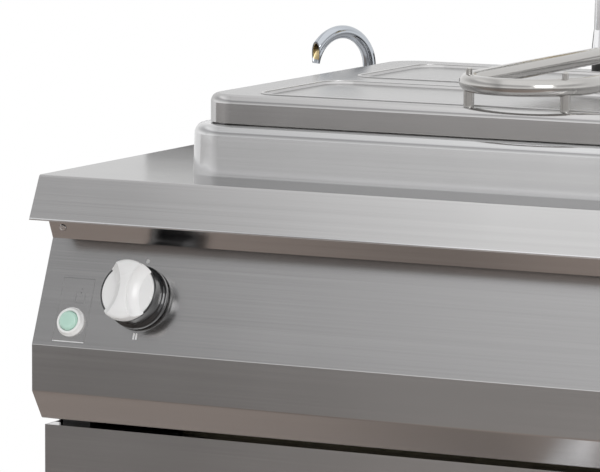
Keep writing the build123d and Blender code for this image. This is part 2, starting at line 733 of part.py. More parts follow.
def lid_spring():
    """Torsion spring coiled round the shaft between the bracket's ears."""
    length = 2 * (ear_outer - ear_thickness) - spring_wire - 0.6
    radius = hinge_diameter / 2 + 1.2 + spring_wire / 2
    coil = Helix(pitch=length / spring_turns, height=length, radius=radius)
    section = Plane(origin=coil @ 0, z_dir=coil % 0) * Circle(spring_wire / 2)
    wound = sweep(section, path=coil, is_frenet=True)
    return Pos(-length / 2, hinge_y, hinge_z) * Rot(0, 90, 0) * wound


# ---- controls ---------------------------------------------------------------------------
def selector_knob():
    """Black knob body: tapered skirt and a wider front ring, hollow under its cap."""
    bore, seat = spindle_diameter / 2, knob_height - cap_seat
    outline = [
        (bore, knob_gap), (knob_base_radius, knob_gap), (knob_base_radius - 0.6, knob_height * 0.5),
        (knob_ring_radius, knob_height * 0.72), (knob_ring_radius, knob_height - 1),
        (knob_ring_radius - 1, knob_height), (cap_radius, knob_height), (cap_radius, seat), (bore, seat),
    ]
    turned = revolve(Plane.XZ * make_face(Polyline(*outline, close=True)), axis=Axis.Z)
    return slope_plane(knob_from_end, knob_up) * turned


def knob_cap():
    """White face disc under a drum that two hollows scoop into a waisted grip."""
    base, top = knob_height - cap_seat, knob_height + grip_height
    upward = (Align.CENTER, Align.CENTER, Align.MIN)
    grip = Pos(0, 0, knob_height) * Cylinder(grip_reach, grip_height, align=upward)
    grip = fillet(grip.edges().group_by(Axis.Z)[-1], grip_edge)
    hollow = scale(Sphere(scoop_radius), by=(1, 1, scoop_squash))
    for side in (-1, 1):
        grip -= Pos(side * (scoop_radius + grip_crest), 0, top + grip_edge) * hollow
    disc = Pos(0, 0, base) * Cylinder(cap_radius, cap_seat + 0.5, align=upward)
    return slope_plane(knob_from_end, knob_up) * (disc + grip)


def selector_spindle():
    """Spindle from the switch up into the knob."""
    start = -panel_sheet - switch_nose - spindle_depth
    end = knob_height - cap_seat
    return slope_plane(knob_from_end, knob_up) * rod((0, 0, start), (0, 0, end), spindle_diameter / 2)


def selector_switch():
    """Rotary switch behind the panel: threaded nose, square body and terminals."""
    low = (Align.CENTER, Align.CENTER, Align.MAX)
    body = Pos(0, 0, -panel_sheet) * Cylinder(9, switch_nose, align=low)
    body += Pos(0, 0, -panel_sheet - switch_nose) * Box(44, 44, 30, align=low)
    for x in (-14, 0, 14):
        body += Pos(x, -12, -panel_sheet - switch_nose - 30) * Box(6, 8, 7, align=low)
    bore = spindle_diameter / 2 + spindle_running
    body -= rod((0, 0, -panel_sheet - switch_nose - spindle_depth - 1), (0, 0, 1), bore)
    return slope_plane(knob_from_end, knob_up) * body


def button_bezel():
    """Clear ring of the fill button with its threaded shank through the panel."""
    bore = lens_radius + button_running
    outline = [
        (bore, -shank_depth), (button_shank, -shank_depth), (button_shank, 0), (bezel_radius, 0),
        (bezel_radius, 1.5), (bezel_radius - 2.5, bezel_height), (bore, bezel_height),
    ]
    turned = revolve(Plane.XZ * make_face(Polyline(*outline, close=True)), axis=Axis.Z)
    return slope_plane(button_from_end, button_up) * turned


def button_lens():
    """Green domed push lens that slides in the bezel."""
    base = button_travel + 1 - shank_depth
    lens = rod((0, 0, base), (0, 0, lens_stand), lens_radius)
    lens = fillet(lens.edges().sort_by(Axis.Z)[-1], 3)
    return slope_plane(button_from_end, button_up) * lens


def button_switch():
    """Contact block clipped behind the panel, hollow round the bezel's shank."""
    low = (Align.CENTER, Align.CENTER, Align.MAX)
    body = Pos(0, 0, -panel_sheet) * Box(30, 30, 34, align=low)
    body -= rod((0, 0, -shank_depth), (0, 0, 0), button_shank)
    return slope_plane(button_from_end, button_up) * body


# ---- water inlet and spout --------------------------------------------------------------
def spout_base():
    """Chrome rose on the worktop with a threaded shank through it."""
    x, y = spout_x, spout_y
    rose = rod((x, y, z_at(0)), (x, y, z_at(4)), 17)
    rose = fillet(rose.edges().sort_by(Axis.Z)[-1], 1.5)
    body = rose + rod((x, y, z_at(-shank_length)), (x, y, z_at(4)), shank_radius)
    body += hexagon((x, y, z_at(4)), (0, 0, 1), 24, 14)
    body -= rod((x, y, z_at(4)), (x, y, z_at(30)), spout_tube / 2 + 0.1)
    return body - rod((x, y, z_at(-60)), (x, y, z_at(30)), spout_tube / 2 - spout_wall)


def spout_nut():
    """Nut that holds the spout's shank under the worktop."""
    nut = hexagon((spout_x, spout_y, z_at(-worktop_sheet)), (0, 0, -1), 32, 8)
    return nut - rod((spout_x, spout_y, z_at(-20)), (spout_x, spout_y, z_at(0)), shank_radius)


def water_spout():
    """Swivelling gooseneck with its outlet cut off upright."""
    turn = radians(spout_turn)
    ahead = Vector(-sin(turn), -cos(turn), 0)
    root = Vector(spout_x, spout_y, 0)
    centre_z = z_at(spout_top - spout_radius)

    def on_arch(angle):
        reach = spout_radius * (1 + cos(radians(angle)))
        return root + ahead * reach + Vector(0, 0, centre_z + spout_radius * sin(radians(angle)))

    foot = root + Vector(0, 0, z_at(5))
    riser = Line(foot, on_arch(180)).edge()
    arch = ThreePointArc(on_arch(180), on_arch(90), on_arch(spout_cut - 16)).edge()
    r = spout_tube / 2
    tube = sweep(Plane(origin=foot) * (Circle(r) - Circle(r - spout_wall)), path=Wire([riser, arch]))
    cut_at = on_arch(spout_cut)
    upright = Plane(origin=cut_at, x_dir=ahead.cross(Vector(0, 0, 1)), z_dir=ahead)
    return tube - extrude(upright * Rectangle(4 * spout_tube, 4 * spout_tube), 2 * spout_radius)


def water_pipe():
    """Copper pipe from the solenoid valve up to the spout's shank."""
    route = [
        (spout_y, z_at(-shank_length)), (spout_y, pipe_turn_z), (fill_valve_y, pipe_turn_z),
        (fill_valve_y, inlet_z + fill_valve_half),
    ]
    return bent_tube([(spout_x, y, z) for y, z in route], water_pipe_radius, pipe_bend, 1)


def fill_valve():
    """Solenoid valve with its coil, screwed onto the water inlet."""
    x, y, z = spout_x, fill_valve_y, inlet_z
    body = rod((x, y, z - fill_valve_half), (x, y, z + fill_valve_half), 11)
    body += rod((x, y, z), (x, y_at(body_depth) - inlet_shank, z), inlet_radius - 0.5)
    body += rod((x, y, z), (x, y - 24, z), 8)
    return body + block(x - 17, x + 17, y - 58, y - 24, z - 20, z + 20)


def water_inlet():
    """Threaded inlet stub with a collar on the back panel and a nut behind it."""
    x, z, back = inlet_x, inlet_z, y_at(body_depth)
    start = back - inlet_shank
    stub = rod((x, start, z), (x, back, z), inlet_radius - 0.5)
    stub += rod((x, back, z), (x, back + inlet_collar, z), inlet_radius + 4)
    stub += rod((x, back, z), (x, back + inlet_reach, z), inlet_radius)
    stub += hexagon((x, back - panel_sheet, z), (0, -1, 0), 2.85 * inlet_radius, 8)
    return stub - rod((x, start, z), (x, back + inlet_reach, z), inlet_radius - 3)


def cable_gland():
    """Cable gland in the back panel."""
    x, z, back = gland_x, gland_z, y_at(body_depth)
    body = rod((x, back - panel_sheet - gland_tail, z), (x, back + 8, z), gland_radius)
    body += hexagon((x, back, z), (0, 1, 0), 33, 7)
    body += rod((x, back + 7, z), (x, back + 18, z), gland_radius + 1)
    body += hexagon((x, back - panel_sheet, z), (0, -1, 0), 30, 6)
    return body - rod((x, back - 20, z), (x, back + 30, z), gland_bore)


def terminal_box():
    """Mains terminal box on the inside of the back panel, next to the gland."""
    back = y_at(body_depth) - panel_sheet
    near, x0, x1 = back - gland_tail, gland_x - terminal_width / 2, gland_x + terminal_width / 2
    z0 = gland_z - terminal_height * 0.375
    box = block(x0, x1, back - terminal_depth, near, z0, z0 + terminal_height)
    rib = block(x0 + 4, x1 - 4, near, back, z0 + terminal_height * 0.7, z0 + terminal_height * 0.87)
    return fillet((box + rib).edges().filter_by(Axis.Y).sort_by(Axis.Z)[-2:], 3)


# ---- drain ------------------------------------------------------------------------------
def drain_pipe():
    """Pipe from the pan's bottom, down through the jacket and forward to the tap."""
    points = [(0, drain_y, pan_bottom_z - pan_wall), (0, drain_y, drain_z), (0, valve_back_y, drain_z)]
    return bent_tube(points, drain_tube / 2, drain_bend, drain_wall)


def drain_rosette():
    """Ring that covers the hole in the front panel."""
    face = y_at(front_panel_back)
    ring = rod((0, face, drain_z), (0, face - 3, drain_z), drain_tube / 2 + 16, drain_tube / 2 + 0.2)
    return chamfer(ring.edges().filter_by(GeomType.CIRCLE).sort_by(Axis.Y)[0], 1)


def tap_body():
    """Ball tap: union nut, barrel round the ball, bonnet and a turned-down outlet."""
    y, z = ball_y, drain_z
    start = y - valve_radius + 2
    body = rod((0, valve_back_y, z), (0, start, z), valve_radius - 2)
    body += Pos(0, y, z) * Sphere(valve_radius + 1)
    body += hexagon((0, valve_back_y, z), (0, -1, 0), 62, 14)
    body += rod((0, y, z), (0, y, z + bonnet_height), 15)
    outlet_z = z - outlet_drop
    body += bent_tube([(0, y, z), (0, outlet_y, z), (0, outlet_y, outlet_z)], outlet_radius, outlet_bend)
    body += rod((0, outlet_y, outlet_z), (0, outlet_y, outlet_z - 8), outlet_radius + 3)
    flow = [(0, valve_back_y + 1, z), (0, outlet_y, z), (0, outlet_y, outlet_z - 10)]
    body -= bent_tube(flow, valve_bore / 2, outlet_bend)
    body -= Pos(0, y, z) * Sphere(ball_radius + ball_clearance)
    return body - rod((0, y, z), (0, y, z + bonnet_height + 5), stem_diameter / 2 + stem_running)


def tap_ball():
    """Ball with its bore across the flow when shut, and the stem that turns it."""
    ball = Pos(0, ball_y, drain_z) * Sphere(ball_radius)
    ball -= rod((-30, ball_y, drain_z), (30, ball_y, drain_z), valve_bore / 2 - 1)
    top = drain_z + bonnet_height + lever_thickness + 1
    return ball + rod((0, ball_y, drain_z + ball_radius - 3), (0, ball_y, top), stem_diameter / 2)


def tap_lever():
    """Flat lever on the stem that ends in a round tang for its grip."""
    z0 = drain_z + bonnet_height + lever_lift
    z1, z = z0 + lever_thickness, z0 + lever_thickness / 2
    half = lever_width / 2
    hub = rod((0, ball_y, z0), (0, ball_y, z1), 0.78 * lever_width)
    arm = block(0, lever_length * 0.5, ball_y - half, ball_y + half, z0, z1)
    arm += rod((lever_length * 0.45, ball_y, z), (lever_length, ball_y, z), tang_radius)
    return hub + arm - rod((0, ball_y, z0 - 1), (0, ball_y, z1 + 1), stem_diameter / 2)


def lever_grip():
    """Black heat-proof grip on the lever's tang."""
    z = drain_z + bonnet_height + lever_lift + lever_thickness / 2
    x0, x1 = lever_length * 0.5, lever_length + 1.7 * grip_radius
    grip = rod((x0, ball_y, z), (x1, ball_y, z), grip_radius)
    grip = fillet(grip.edges().filter_by(GeomType.CIRCLE), grip_radius / 3)
    return grip - rod((x0 - 1, ball_y, z), (lever_length, ball_y, z), tang_radius)


# ---- safety group -----------------------------------------------------------------------
def riser():
    """Steam riser: branch out of the jacket, up through the worktop to the valve block."""
    z_low = z_at(-riser_drop)
    route = [(pan_y + jacket_depth / 2 - jacket_wall, z_low), (riser_y, z_low), (riser_y, z_at(riser_top))]
    return bent_tube([(riser_x, y, z) for y, z in route], riser_tube / 2, riser_bend, riser_wall)


def riser_sleeve():
    """Black heat guard round the riser's foot."""
    r, bore = riser_tube / 2, riser_tube / 2 + 0.2
    sleeve = rod((riser_x, riser_y, z_at(0)), (riser_x, riser_y, z_at(sleeve_top)), r + 2.5, bore)
    return sleeve + rod((riser_x, riser_y, z_at(0)), (riser_x, riser_y, z_at(5)), r + 4.5, bore)


def riser_union():
    """Turned chrome ring above the heat guard, flared towards its foot."""
    r = riser_tube / 2
    shoulder = union_height * 0.2
    outline = [(r, 0), (r + 2.6, 0), (r + 2.2, shoulder), (r + 0.6, union_height), (r, union_height)]
    ring = revolve(Plane.XZ * make_face(Polyline(*outline, close=True)), axis=Axis.Z)
    return Pos(riser_x, riser_y, z_at(union_foot)) * ring


def valve_block():
    """Brass cross on top of the riser that carries the gauge and both valves."""
    z0, z1 = z_at(riser_top), z_at(riser_top + block_size)
    half = block_size / 2
    cross = block(riser_x - half, riser_x + half, riser_y - half, riser_y + half, z0, z1)
    cross = chamfer(cross.edges().filter_by(Axis.Z), 6)
    cross += rod((riser_x, riser_y, block_z), (riser_x - arm_reach, riser_y, block_z), arm_radius)
    cross += rod((riser_x, riser_y, block_z), (riser_x, riser_y + arm_reach, block_z), arm_radius)
    cross += rod((riser_x, riser_y, z1), (riser_x, riser_y, gauge_z - gauge_radius), 6)
    return cross + hexagon((riser_x, riser_y, z1 + 2), (0, 0, 1), 17, 7)


def safety_valve():
    """Spring-loaded safety valve with a side outlet."""
    x, y, z = safety_x, riser_y, block_z
    body = rod((x, y, z - safety_foot), (x, y, z + safety_shoulder), safety_body)
    body += hexagon((x, y, z + 8), (0, 0, 1), 2.2 * safety_body, 10)
    body += rod((x, y, z), (x, y + safety_reach, z), safety_outlet)
    body -= rod((x, y + 4, z), (x, y + safety_reach + 1, z), safety_bore)
    body += rod((x, y, z + safety_shoulder), (x, y, z + safety_shoulder + 6), safety_stem)
    return body - rod((riser_x, y, z), (riser_x - arm_reach, y, z), arm_radius)


def easing_cap():
    """Ribbed cap that is turned to test the safety valve."""
    x, y, z = safety_x, riser_y, block_z + safety_shoulder + 0.4
    cap = rod((x, y, z), (x, y, z + cap_height), cap_outer)
    flute = Cylinder(0.17 * cap_outer, 3 * cap_height)
    for place in PolarLocations(1.086 * cap_outer, 10).locations:
        cap -= Pos(x, y, z) * place * flute
    return cap - rod((x, y, z - 1), (x, y, z + 6), safety_stem + 0.1)


def vacuum_breaker():
    """Small check valve behind the block that lets air in when the jacket cools."""
    x, y, z = riser_x, riser_y + arm_reach + breaker_offset, block_z
    body = rod((x, y, z - 12), (x, y, z + 20), breaker_body)
    body += hexagon((x, y, z + 20), (0, 0, 1), 2.2 * breaker_body, 7)
    body += rod((x, y, z + 27), (x, y, z + 33), 0.78 * breaker_body)
    return body - rod((x, riser_y, z), (x, riser_y + arm_reach, z), arm_radius)


def gauge_case():
    """Round pressure gauge case, open in front, with its rim."""
    front, back = riser_y - 14, riser_y + 14
    case = rod((riser_x, front, gauge_z), (riser_x, back, gauge_z), gauge_radius, 0)
    case += rod((riser_x, front - 3, gauge_z), (riser_x, front + 3, gauge_z), gauge_radius + 2)
    case -= rod((riser_x, front - 4, gauge_z), (riser_x, front + 16, gauge_z), gauge_radius - 2)
    case = fillet(case.edges().filter_by(GeomType.CIRCLE).sort_by(Axis.Y)[-1], 3)
    return case


def gauge_dial():
    """White dial plate at the bottom of the case, with the pointer's bearing."""
    plate = rod((riser_x, riser_y + 2, gauge_z), (riser_x, riser_y, gauge_z), gauge_radius - 2.05)
    return plate - rod((riser_x, riser_y + 5, gauge_z), (riser_x, riser_y - 5, gauge_z), 1.3)


def gauge_needle():
    """Pointer and its pivot."""
    y = riser_y - 2.6
    pointer = rod((riser_x, riser_y + 1.5, gauge_z), (riser_x, y - 1, gauge_z), 1.2)
    pointer += rod((riser_x, y + 0.5, gauge_z), (riser_x, y - 1, gauge_z), 4)
    angle = radians(gauge_zero)
    along = Vector(sin(angle), 0, cos(angle))
    hub = Vector(riser_x, y, gauge_z)
    blade = Plane(origin=hub, x_dir=along, z_dir=(0, -1, 0))
    outline = Polyline((-7, -1.6), (gauge_radius - 8, -0.5), (gauge_radius - 8, 0.5), (-7, 1.6), close=True)
    return pointer + extrude(blade * make_face(outline), 0.8)


def gauge_glass():
    """Glass let into the gauge's rim."""
    front = riser_y - 14
    return rod((riser_x, front - 1, gauge_z), (riser_x, front + 1, gauge_z), gauge_radius - 2.05)


def four_of(maker, places):
    """The same piece at each of four places, as separate solids of one node."""
    return Compound(children=[maker(x, y) for x, y in places])


def build():
    """Write every node."""
    save(worktop(), "worktop")
    save(control_panel(), "control_panel")
    save(side_panel(-1), "side_panel_left")
    save(side_panel(1), "side_panel_right")
    save(back_panel(), "back_panel")
    save(front_panel(), "front_panel")
    save(base_tray(), "base_tray")
    save(frame(), "frame")
    save(four_of(leg, leg_places), "legs")
    save(four_of(foot, leg_places), "feet")
    save(well_surround(), "well_surround")
    save(inner_vessel(), "inner_vessel")
    save(steam_jacket(), "steam_jacket")
    save(insulation(), "insulation")
    for name, x in zip(("left", "right"), element_places):
        save(heating_element(x), f"heating_element_{name}")
    save(Compound(children=[element_cover(x) for x in element_places]), "element_covers")
    save(drain_strainer(), "drain_strainer")
    save(lid_shell(), "lid_shell")
    save(lid_liner(), "lid_liner")
    save(lid_gasket(), "lid_gasket")
    save(lid_handle(), "lid_handle")
    save(four_of(handle_post, post_places), "handle_posts")
    save(hinge_shaft(), "hinge_shaft")
    save(hinge_bracket(), "hinge_bracket")
    save(Compound(children=[hinge_bush(-1), hinge_bush(1)]), "hinge_bushes")
    save(lid_spring(), "lid_spring")
    save(selector_knob(), "selector_knob")
    save(knob_cap(), "knob_cap")
    save(selector_spindle(), "selector_spindle")
    save(selector_switch(), "selector_switch")
    save(button_bezel(), "button_bezel")
    save(button_lens(), "button_lens")
    save(button_switch(), "button_switch")
    save(spout_base(), "spout_base")
    save(spout_nut(), "spout_nut")
    save(water_spout(), "water_spout")
    save(water_pipe(), "water_pipe")
    save(fill_valve(), "fill_valve")
    save(water_inlet(), "water_inlet")
    save(cable_gland(), "cable_gland")
    save(terminal_box(), "terminal_box")
    save(drain_pipe(), "drain_pipe")
    save(drain_rosette(), "drain_rosette")
    save(tap_body(), "tap_body")
    save(tap_ball(), "tap_ball")
    save(tap_lever(), "tap_lever")
    save(lever_grip(), "lever_grip")
    save(riser(), "riser")
    save(riser_sleeve(), "riser_sleeve")
    save(riser_union(), "riser_union")
    save(valve_block(), "valve_block")
    save(safety_valve(), "safety_valve")
    save(easing_cap(), "easing_cap")
    save(vacuum_breaker(), "vacuum_breaker")
    save(gauge_case(), "gauge_case")
    save(gauge_dial(), "gauge_dial")
    save(gauge_needle(), "gauge_needle")
    save(gauge_glass(), "gauge_glass")


build()
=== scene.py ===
"""Steam jacketed kettle: finishes, modelled outer pieces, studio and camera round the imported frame."""
from math import atan2, cos, pi, radians, sin

import bmesh
import bpy
from mathutils import Matrix, Vector


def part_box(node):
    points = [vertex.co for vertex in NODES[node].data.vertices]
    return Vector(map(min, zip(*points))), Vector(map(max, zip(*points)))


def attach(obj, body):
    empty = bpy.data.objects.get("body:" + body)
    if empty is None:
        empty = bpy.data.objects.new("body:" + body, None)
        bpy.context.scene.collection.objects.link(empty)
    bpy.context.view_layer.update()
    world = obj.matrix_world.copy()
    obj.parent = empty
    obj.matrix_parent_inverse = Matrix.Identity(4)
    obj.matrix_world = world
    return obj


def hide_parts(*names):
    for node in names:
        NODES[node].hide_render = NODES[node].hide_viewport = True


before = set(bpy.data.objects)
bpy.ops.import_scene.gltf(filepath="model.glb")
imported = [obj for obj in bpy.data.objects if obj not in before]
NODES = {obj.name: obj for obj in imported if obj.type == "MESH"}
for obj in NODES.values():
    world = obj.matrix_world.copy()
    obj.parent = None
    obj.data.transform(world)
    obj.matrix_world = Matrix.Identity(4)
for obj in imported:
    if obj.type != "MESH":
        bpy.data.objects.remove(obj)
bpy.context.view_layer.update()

MM = 0.001
OPS = bpy.ops

# ---- sizes and places that several pieces share, metres ----------------------------------
TOP_LO, TOP_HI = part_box("worktop")
LID_LO, LID_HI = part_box("lid_shell")
APRON_LEAN = 20 * MM
EDGE = Vector((TOP_LO.x, TOP_LO.y + APRON_LEAN, TOP_HI.z))   # worktop's front left corner
SLOPE_RUN, SLOPE_RISE = 40, 97          # the control face leans back from upright
SLOPE_LEAN = atan2(SLOPE_RUN, SLOPE_RISE)
SLOPE_OUT = Vector((0, -cos(SLOPE_LEAN), sin(SLOPE_LEAN)))
SLOPE_UP = Vector((0, sin(SLOPE_LEAN), cos(SLOPE_LEAN)))
STRIP_RUN, STRIP_DROP = 16 * MM, 34.8 * MM      # the strip under the apron leans forward at its top
SPOUT_ROOT = Vector((-374.3, 259.6, 0)) * MM
SPOUT_ARCH_Z, SPOUT_BEND = 913.8 * MM, 37.5 * MM        # centre height and radius of its arch
SPOUT_TURN, SPOUT_CUT = radians(25), radians(27)        # turn from straight ahead; cut end on the arch
KNOB_FOOT = Vector((-344.0, -287.18, 738.27)) * MM      # on the control face, under the knob
BUTTON_FOOT = Vector((-412.5, -297.85, 712.4)) * MM


# ---- shader maths ------------------------------------------------------------------------
class Socket:
    """A node output that takes part in sums, products and maxima."""

    def __init__(self, paint, output):
        self.paint, self.output = paint, output

    def _math(self, operation, *values):
        return self.paint.node("ShaderNodeMath", {"operation": operation}, values)

    def __add__(self, other):
        return self._math("ADD", self, other)

    def __radd__(self, other):
        return self._math("ADD", other, self)

    def __sub__(self, other):
        return self._math("SUBTRACT", self, other)

    def __mul__(self, other):
        return self._math("MULTIPLY", self, other)

    def __truediv__(self, other):
        return self._math("DIVIDE", self, other)

    def most(self, other):
        """The larger of the two."""
        return self._math("MAXIMUM", self, other)


class Paint:
    """One procedural material and the nodes that make it."""

    def __init__(self, name, **shader):
        self.material = bpy.data.materials.new(name)
        self.material.use_nodes = True
        self.tree = self.material.node_tree
        self.shader = self.tree.nodes["Principled BSDF"]
        self.set(**shader)
        self.place = self.node("ShaderNodeTexCoord", {}, [], "Object")

    def set(self, **values):
        """Put constants or links on the shader's sockets."""
        for key, value in values.items():
            self.put(self.shader.inputs[key.replace("_", " ")], value)

    def put(self, target, value):
        """Link a Socket, or write a constant."""
        if isinstance(value, Socket):
            self.tree.links.new(value.output, target)
        else:
            target.default_value = value

    def node(self, kind, settings, inputs, output=0):
        """Any other node: its settings first, then its sockets by order or name."""
        made = self.tree.nodes.new(kind)
        for key, value in settings.items():
            if key == "stops":
                ramp = made.color_ramp
                while len(ramp.elements) < len(value):
                    ramp.elements.new(0.5)
                for element, (place, colour) in zip(ramp.elements, value):
                    element.position, element.color = place, (*colour, 1.0)
            else:
                setattr(made, key, value)
        pairs = inputs.items() if isinstance(inputs, dict) else enumerate(inputs)
        for key, value in pairs:
            self.put(made.inputs[key], value)
        return Socket(self, made.outputs[output])

    def axes(self):
        """X, Y and Z of the place as three sockets."""
        split = self.tree.nodes.new("ShaderNodeSeparateXYZ")
        self.tree.links.new(self.place.output, split.inputs[0])
        return [Socket(self, split.outputs[i]) for i in range(3)]

    def stretched(self, scale):
        """The place scaled unevenly, for brushed or drawn marks."""
        return self.node("ShaderNodeMapping", {}, {"Vector": self.place, "Scale": scale})

    def noise(self, vector, scale, detail=3.0, rough=0.5):
        """Grey noise from 0 to 1."""
        return self.node("ShaderNodeTexNoise", {}, {
            "Vector": vector, "Scale": scale, "Detail": detail, "Roughness": rough})

    def span(self, value, low, high, to_low=0.0, to_high=1.0):
        """Map a value's range onto another, clamped."""
        return self.node("ShaderNodeMapRange", {"clamp": True}, {
            "Value": value, "From Min": low, "From Max": high, "To Min": to_low, "To Max": to_high})

    def mix(self, factor, first, second):
        """Blend two colours."""
        made = self.tree.nodes.new("ShaderNodeMix")
        made.data_type = "RGBA"
        self.put(made.inputs["Factor"], factor)
        for key, value in ((6, first), (7, second)):
            self.put(made.inputs[key], value if isinstance(value, Socket) else (*value, 1.0))
        return Socket(self, made.outputs[2])

    def bump(self, height, strength, distance):
        """Feed a height into the shader's Normal."""
        self.set(Normal=self.node("ShaderNodeBump", {}, {
            "Height": height, "Strength": strength, "Distance": distance}))


# ---- finishes ----------------------------------------------------------------------------
def grain(brushed_axis, along, across):
    """Noise scales that draw the marks out along one axis."""
    return tuple(along if axis == brushed_axis else across for axis in "xyz")


def brushed(name, axis, colour, roughness, depth=0.10, grazing=1.0):
    """Stainless sheet with fine parallel brushing along one axis and faint handling marks.

    A grazing value under 1 darkens what the sheet mirrors at a shallow angle.
    """
    paint = Paint(name, Metallic=1.0, Specular_Tint=(grazing, grazing, grazing, 1))
    streaks = paint.noise(paint.stretched(grain(axis, 3, 1400)), 1.0, 4.0, 0.6)
    broad = paint.noise(paint.stretched(grain(axis, 1.5, 168)), 1.0, 2.0)
    cloud = paint.noise(paint.place, 7.0, 3.0)
    light = tuple(min(1.0, c * 1.05) for c in colour)
    dark = tuple(c * 0.93 for c in colour)
    paint.set(Base_Color=paint.mix(paint.span(streaks * 0.6 + broad * 0.4, 0.3, 0.7), dark, light))
    paint.set(Roughness=roughness + (streaks - 0.5) * 0.10 + (cloud - 0.5) * 0.10)
    paint.bump(streaks * 0.7 + broad * 0.3, depth, 0.00002)
    return paint.material


def polished(name, colour, roughness):
    """Bright polished metal with a trace of wiping marks."""
    paint = Paint(name, Metallic=1.0)
    smear = paint.noise(paint.stretched((60, 60, 25)), 1.0, 4.0)
    dark = tuple(c * 0.94 for c in colour)
    paint.set(Base_Color=paint.mix(smear, dark, colour))
    paint.set(Roughness=roughness + paint.span(smear, 0.35, 0.75, 0.0, 0.06))
    return paint.material


def moulded(name, colour, roughness, coat=0.0, skin_scale=900.0, depth=0.05):
    """Moulded plastic or rubber with a fine skin."""
    paint = Paint(name, Coat_Weight=coat, Coat_Roughness=0.08)
    skin = paint.noise(paint.place, skin_scale, 2.0)
    patch = paint.noise(paint.place, 25.0, 3.0)
    worn = tuple(min(1.0, c * 1.06 + 0.004) for c in colour)
    paint.set(Base_Color=paint.mix(patch, colour, worn))
    paint.set(Roughness=roughness + (patch - 0.5) * 0.08)
    paint.bump(skin, depth, 0.00005)
    return paint.material


def turned_metal(name, colour, roughness):
    """Machined or plated brass with fine tool marks and slight tarnish."""
    paint = Paint(name, Metallic=1.0)
    marks = paint.noise(paint.stretched((300, 300, 1600)), 1.0, 3.0)
    tarnish = paint.span(paint.noise(paint.place, 40.0, 4.0), 0.45, 0.75)
    paint.set(Base_Color=paint.mix(tarnish, colour, tuple(c * 0.72 for c in colour)))
    paint.set(Roughness=roughness + marks * 0.1 + tarnish * 0.12)
    paint.bump(marks, 0.08, 0.00003)
    return paint.material


def wool():
    """Matt mineral fibre."""
    paint = Paint("mineral_wool", Roughness=0.95)
    fibre = paint.noise(paint.stretched((400, 60, 400)), 1.0, 6.0, 0.7)
    paint.set(Base_Color=paint.mix(fibre, (0.22, 0.19, 0.12), (0.38, 0.34, 0.24)))
    paint.bump(fibre, 0.6, 0.002)
    return paint.material


def clear(name, colour, roughness, weight):
    """Clear plastic or glass, with a trace of haze."""
    paint = Paint(name, Transmission_Weight=weight, IOR=1.49)
    haze = paint.noise(paint.place, 300.0, 2.0)
    paint.set(Base_Color=paint.mix(haze, colour, tuple(c * 0.97 for c in colour)))
    paint.set(Roughness=roughness + haze * 0.05)
    return paint.material


STEEL = (0.56, 0.555, 0.555)
FINISH = {
    "satin_x": brushed("satin_steel_x", "x", STEEL, 0.30),
    "facing": brushed("facing_steel", "x", STEEL, 0.18),
    "top": brushed("top_steel", "x", STEEL, 0.15, 0.10, 0.74),
    # Painted light: the surround's collar is a lighter copy of the same steel, for the brighter look the
    # light gives it.
    "collar": brushed("collar_steel", "x", (0.60, 0.60, 0.605), 0.17),
    "satin_y": brushed("satin_steel_y", "y", STEEL, 0.30),
    "satin_z": brushed("satin_steel_z", "z", STEEL, 0.30),
    "polished": polished("polished_steel", (0.78, 0.78, 0.79), 0.08),
    "chrome": polished("chrome_plate", (0.50, 0.53, 0.57), 0.05),
    "tube": polished("tube_steel", (0.50, 0.49, 0.475), 0.17),
    "lid": brushed("lid_steel", "x", STEEL, 0.16, 0.05, 0.72),
    "jacket": brushed("jacket_steel", "x", (0.40, 0.39, 0.38), 0.45),
    # Painted shade: the frame's steel is darkened to near black for the shade where it shows through gaps.
    "frame": brushed("frame_steel", "z", (0.12, 0.12, 0.12), 0.6),
    "heater": turned_metal("heater_alloy", (0.22, 0.20, 0.18), 0.5),
    "wool": wool(),
    "silicone": moulded("silicone", (0.62, 0.61, 0.58), 0.5),
    "black": moulded("black_plastic", (0.010, 0.011, 0.013), 0.10, 0.6, 500.0, 0.01),
    "black_matt": moulded("black_matt", (0.018, 0.018, 0.018), 0.55),
    "white": moulded("white_plastic", (0.86, 0.86, 0.86), 0.28, 0.3, 700.0, 0.02),
    "etched": brushed("etched_mark", "x", (0.27, 0.27, 0.27), 0.4),
    "etched_light": brushed("etched_mark_light", "x", (0.92, 0.92, 0.92), 0.5),
    "frosted": moulded("frosted_plastic", (0.97, 0.97, 0.97), 0.2, 0.4, 400.0, 0.01),
    "dial": moulded("dial_white", (0.82, 0.82, 0.80), 0.5),
    "green": moulded("green_plastic", (0.54, 0.80, 0.69), 0.25, 0.5, 400.0, 0.02),
    "clear": clear("clear_plastic", (0.93, 0.95, 0.94), 0.12, 0.75),
    "glass": clear("clear_glass", (1.0, 1.0, 1.0), 0.02, 1.0),
    "brass": turned_metal("plated_brass", (0.62, 0.50, 0.28), 0.28),
    "nickel": turned_metal("nickel_plate", (0.60, 0.58, 0.54), 0.25),
    "copper": turned_metal("copper_tube", (0.66, 0.34, 0.22), 0.3),
}

